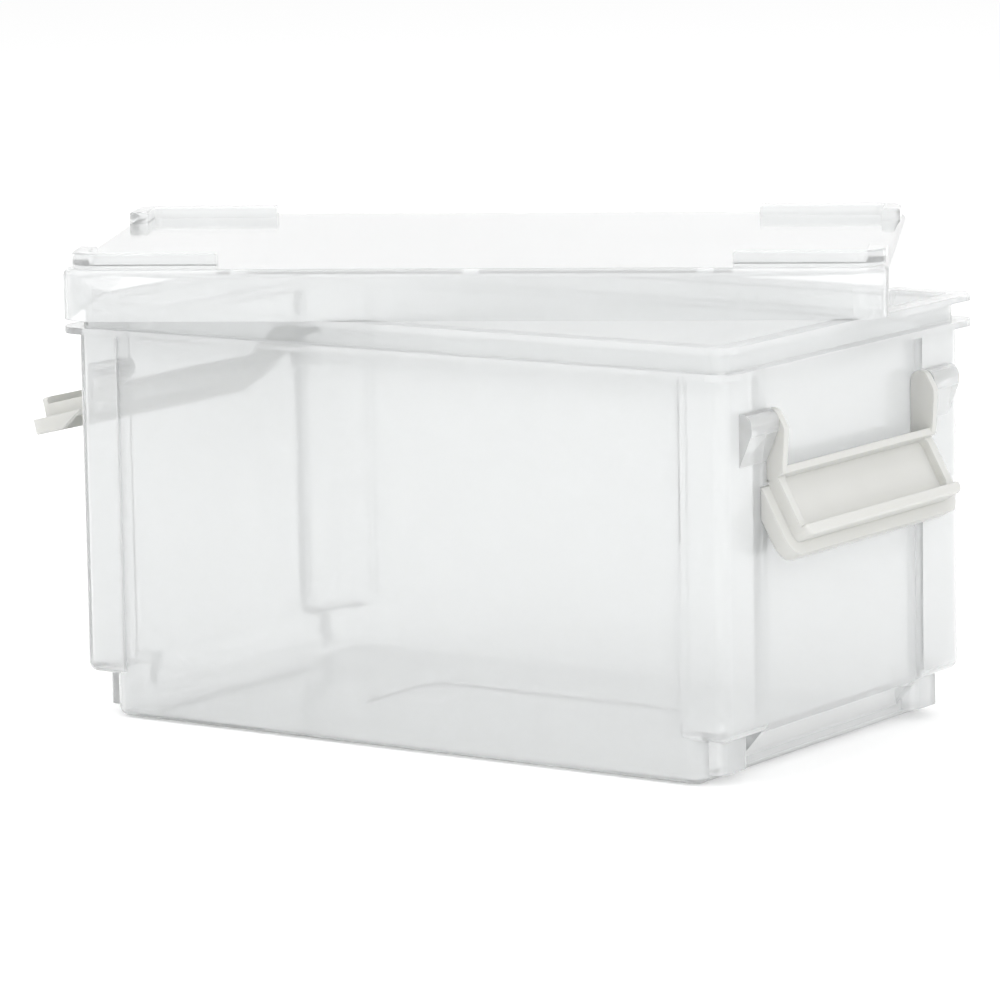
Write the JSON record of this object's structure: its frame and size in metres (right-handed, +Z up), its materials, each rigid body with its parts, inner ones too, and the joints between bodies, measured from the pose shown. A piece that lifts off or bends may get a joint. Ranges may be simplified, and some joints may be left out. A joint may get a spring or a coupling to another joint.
{
  "type": "photo keeper case",
  "caption": "Clear lidded storage box for photo prints, with a stepped rim, a lift-off lid and a hinged clamp latch on each end wall.",
  "frame": {"origin": "on the floor, under the middle of the bin's floor", "axes": "+X to the bin's right end, along its length, +Y to its back, +Z up"},
  "size_m": [0.3505, 0.2944, 0.1815],
  "materials": {
    "clear_plastic": "clear polypropylene, glossy",
    "latch_plastic": "warm grey moulded plastic, satin"
  },
  "bodies": {
    "bin": {"bin": "clear_plastic"},
    "lid": {"lid": "clear_plastic"},
    "latch_right": {"latch_right": "latch_plastic"},
    "latch_left": {"latch_left": "latch_plastic"}
  },
  "joints": [
    {"name": "lid_lift", "type": "slide", "parent": "bin", "child": "lid", "axis": [0, 0, 1], "range_m": [0, 0.19]},
    {"name": "latch_right_swing", "type": "hinge", "parent": "bin", "child": "latch_right", "pos_m": [0.144, 0, 0.1288], "axis": [0, -1, 0], "range_deg": [0, 140]},
    {"name": "latch_left_swing", "type": "hinge", "parent": "bin", "child": "latch_left", "pos_m": [-0.144, 0, 0.1288], "axis": [0, 1, 0], "range_deg": [-47, 60]}
  ]
}
